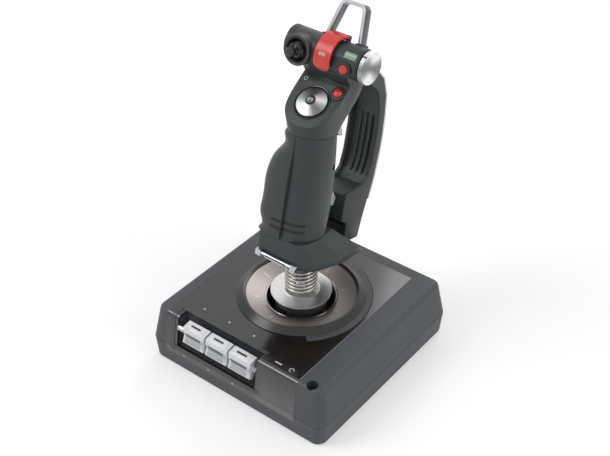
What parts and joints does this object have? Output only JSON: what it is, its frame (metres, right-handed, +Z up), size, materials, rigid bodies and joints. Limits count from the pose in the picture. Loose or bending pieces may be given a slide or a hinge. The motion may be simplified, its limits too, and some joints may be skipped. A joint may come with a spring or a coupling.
{
  "type": "flight joystick",
  "caption": "Desktop flight joystick: leaning grip with hand guard, hats, covered button and trigger on a sprung gimbal in a square base with rocker toggles.",
  "frame": {"origin": "centre of the base where its feet stand on the table", "axes": "+Z up, +X to the user's right, -Y towards the user"},
  "size_m": [0.172, 0.1783, 0.2873],
  "materials": {
    "shell_plastic": "fine moulded grain, satin",
    "gloss_plate": "piano gloss",
    "gloss_black": "polished",
    "black_plastic": "satin",
    "grip_plastic": "satin soft-touch",
    "hat_plastic": "satin",
    "dish_metal": "brushed",
    "brushed_metal": "brushed",
    "silver_paint": "silver lacquer",
    "chrome": "polished",
    "spring_steel": "bright",
    "screw_steel": "zinc plated",
    "ballast_steel": "plain",
    "gimbal_metal": "cast",
    "brass": "turned",
    "red_plastic": "satin gloss",
    "red_button": "gloss",
    "green_lens": "clear green",
    "board": "lacquered board",
    "foot_rubber": "matt"
  },
  "bodies": {
    "base": {"base_pan": "shell_plastic", "base_shell": "shell_plastic", "inset_plate": "gloss_plate", "rubber_feet": "foot_rubber", "base_screws": "screw_steel", "ballast_plate": "ballast_steel", "base_board": "board", "cable_gland": "black_plastic", "toggle_shaft": "brushed_metal", "toggle_switches": "black_plastic", "bezel_ring": "gloss_black", "dish_disc": "dish_metal", "gimbal_housing": "black_plastic", "pitch_sensor": "board", "pitch_pins": "screw_steel"},
    "gimbal": {"gimbal_ring": "gimbal_metal", "roll_pins": "screw_steel"},
    "stick": {"stick_shaft": "chrome", "centring_spring": "spring_steel", "spring_cap": "chrome", "shaft_clip": "screw_steel"},
    "collar": {"spring_collar": "chrome"},
    "handle": {"pivot_bush": "brass", "handle_foot": "grip_plastic", "hand_guard": "grip_plastic", "guard_strip": "silver_paint", "grip_left": "grip_plastic", "grip_right": "grip_plastic", "grip_board": "board", "head_shell": "grip_plastic", "barrel_cap": "grip_plastic", "button_collar_a": "black_plastic", "button_collar_b": "black_plastic", "mode_light": "green_lens", "left_hat_ring": "hat_plastic", "loop_guard": "chrome", "loop_sockets": "black_plastic", "cover_pin": "screw_steel", "trigger_pin": "screw_steel", "pinkie_switch_pin": "screw_steel", "lock_blocks": "chrome", "grip_screw": "screw_steel"},
    "trigger": {"trigger": "chrome"},
    "pinkie": {"pinkie_switch": "silver_paint"},
    "cover": {"safety_cover": "red_plastic"},
    "launch": {"launch_button": "red_plastic"},
    "fire_a": {"fire_button_a": "red_button"},
    "fire_b": {"fire_button_b": "red_button"},
    "knob": {"mode_knob": "brushed_metal"},
    "left_rocker": {"left_hat_rocker": "black_plastic"},
    "left_hat": {"left_hat": "hat_plastic"},
    "right_rocker": {"right_hat_rocker": "black_plastic"},
    "right_hat": {"right_hat": "brushed_metal"},
    "toggle_1": {"toggle_left": "silver_paint"},
    "toggle_2": {"toggle_middle": "silver_paint"},
    "toggle_3": {"toggle_right": "silver_paint"},
    "lock": {"lock_lever": "chrome"}
  },
  "joints": [
    {"name": "stick_pitch", "type": "hinge", "parent": "base", "child": "gimbal", "pos_m": [0, 0, 0.044], "axis": [1, 0, 0], "range_deg": [-18, 18], "stiffness_Nm_per_rad": 4},
    {"name": "stick_roll", "type": "hinge", "parent": "gimbal", "child": "stick", "pos_m": [0, 0, 0.044], "axis": [0, 1, 0], "range_deg": [-18, 18], "stiffness_Nm_per_rad": 4},
    {"name": "collar_slide", "type": "slide", "parent": "stick", "child": "collar", "axis": [0, 0, 1], "range_m": [0, 0.01], "stiffness_N_per_m": 300, "springref_m": -0.02, "deforming": ["centring_spring"]},
    {"name": "stick_twist", "type": "hinge", "parent": "stick", "child": "handle", "pos_m": [0, 0, 0.095], "axis": [0, 0, 1], "range_deg": [-20, 20], "stiffness_Nm_per_rad": 1},
    {"name": "trigger_pull", "type": "hinge", "parent": "handle", "child": "trigger", "pos_m": [0, 0.02862, 0.1992], "axis": [-1, 0, 0], "range_deg": [0, 12], "stiffness_Nm_per_rad": 0.05, "springref_deg": -8.59},
    {"name": "pinkie_press", "type": "hinge", "parent": "handle", "child": "pinkie", "pos_m": [0, 0.01966, 0.14478], "axis": [-1, 0, 0], "range_deg": [0, 9], "stiffness_Nm_per_rad": 0.05, "springref_deg": -8.59},
    {"name": "cover_lift", "type": "hinge", "parent": "handle", "child": "cover", "pos_m": [0.0015, 0.04228, 0.26513], "axis": [-1, 0, 0], "range_deg": [0, 85]},
    {"name": "launch_press", "type": "slide", "parent": "handle", "child": "launch", "axis": [0, 0.9724, -0.2334], "range_m": [0, 0.0012], "stiffness_N_per_m": 400, "springref_m": -0.0015},
    {"name": "fire_a_press", "type": "slide", "parent": "handle", "child": "fire_a", "axis": [0, 0.9724, -0.2334], "range_m": [0, 0.0015], "stiffness_N_per_m": 400, "springref_m": -0.0015},
    {"name": "fire_b_press", "type": "slide", "parent": "handle", "child": "fire_b", "axis": [0, 0.5225, -0.8526], "range_m": [0, 0.0015], "stiffness_N_per_m": 400, "springref_m": -0.0015},
    {"name": "mode_turn", "type": "hinge", "parent": "handle", "child": "knob", "pos_m": [0.0293, 0.03603, 0.25193], "axis": [1, 0, 0], "range_deg": [-30, 30]},
    {"name": "left_hat_updown", "type": "hinge", "parent": "handle", "child": "left_rocker", "pos_m": [-0.0216, 0.02763, 0.25291], "axis": [1, 0, 0], "range_deg": [-8, 8], "stiffness_Nm_per_rad": 0.05},
    {"name": "left_hat_across", "type": "hinge", "parent": "left_rocker", "child": "left_hat", "pos_m": [-0.0216, 0.02763, 0.25291], "axis": [0, 0.2334, 0.9724], "range_deg": [-8, 8], "stiffness_Nm_per_rad": 0.05},
    {"name": "right_hat_updown", "type": "hinge", "parent": "handle", "child": "right_rocker", "pos_m": [0, 0.01465, 0.21861], "axis": [1, 0, 0], "range_deg": [-8, 8], "stiffness_Nm_per_rad": 0.05},
    {"name": "right_hat_across", "type": "hinge", "parent": "right_rocker", "child": "right_hat", "pos_m": [0, 0.01465, 0.21861], "axis": [0, 0.8526, 0.5225], "range_deg": [-8, 8], "stiffness_Nm_per_rad": 0.05},
    {"name": "lock_turn", "type": "hinge", "parent": "handle", "child": "lock", "pos_m": [0, -0.03133, 0.10499], "axis": [1, 0, 0], "range_deg": [0, 50]},
    {"name": "toggle_1_rock", "type": "hinge", "parent": "base", "child": "toggle_1", "pos_m": [-0.038, -0.082, 0.0405], "axis": [1, 0, 0], "range_deg": [-10, 10], "stiffness_Nm_per_rad": 0.05},
    {"name": "toggle_2_rock", "type": "hinge", "parent": "base", "child": "toggle_2", "pos_m": [-0.0147, -0.082, 0.0405], "axis": [1, 0, 0], "range_deg": [-10, 10], "stiffness_Nm_per_rad": 0.05},
    {"name": "toggle_3_rock", "type": "hinge", "parent": "base", "child": "toggle_3", "pos_m": [0.0086, -0.082, 0.0405], "axis": [1, 0, 0], "range_deg": [-10, 10], "stiffness_Nm_per_rad": 0.05}
  ]
}
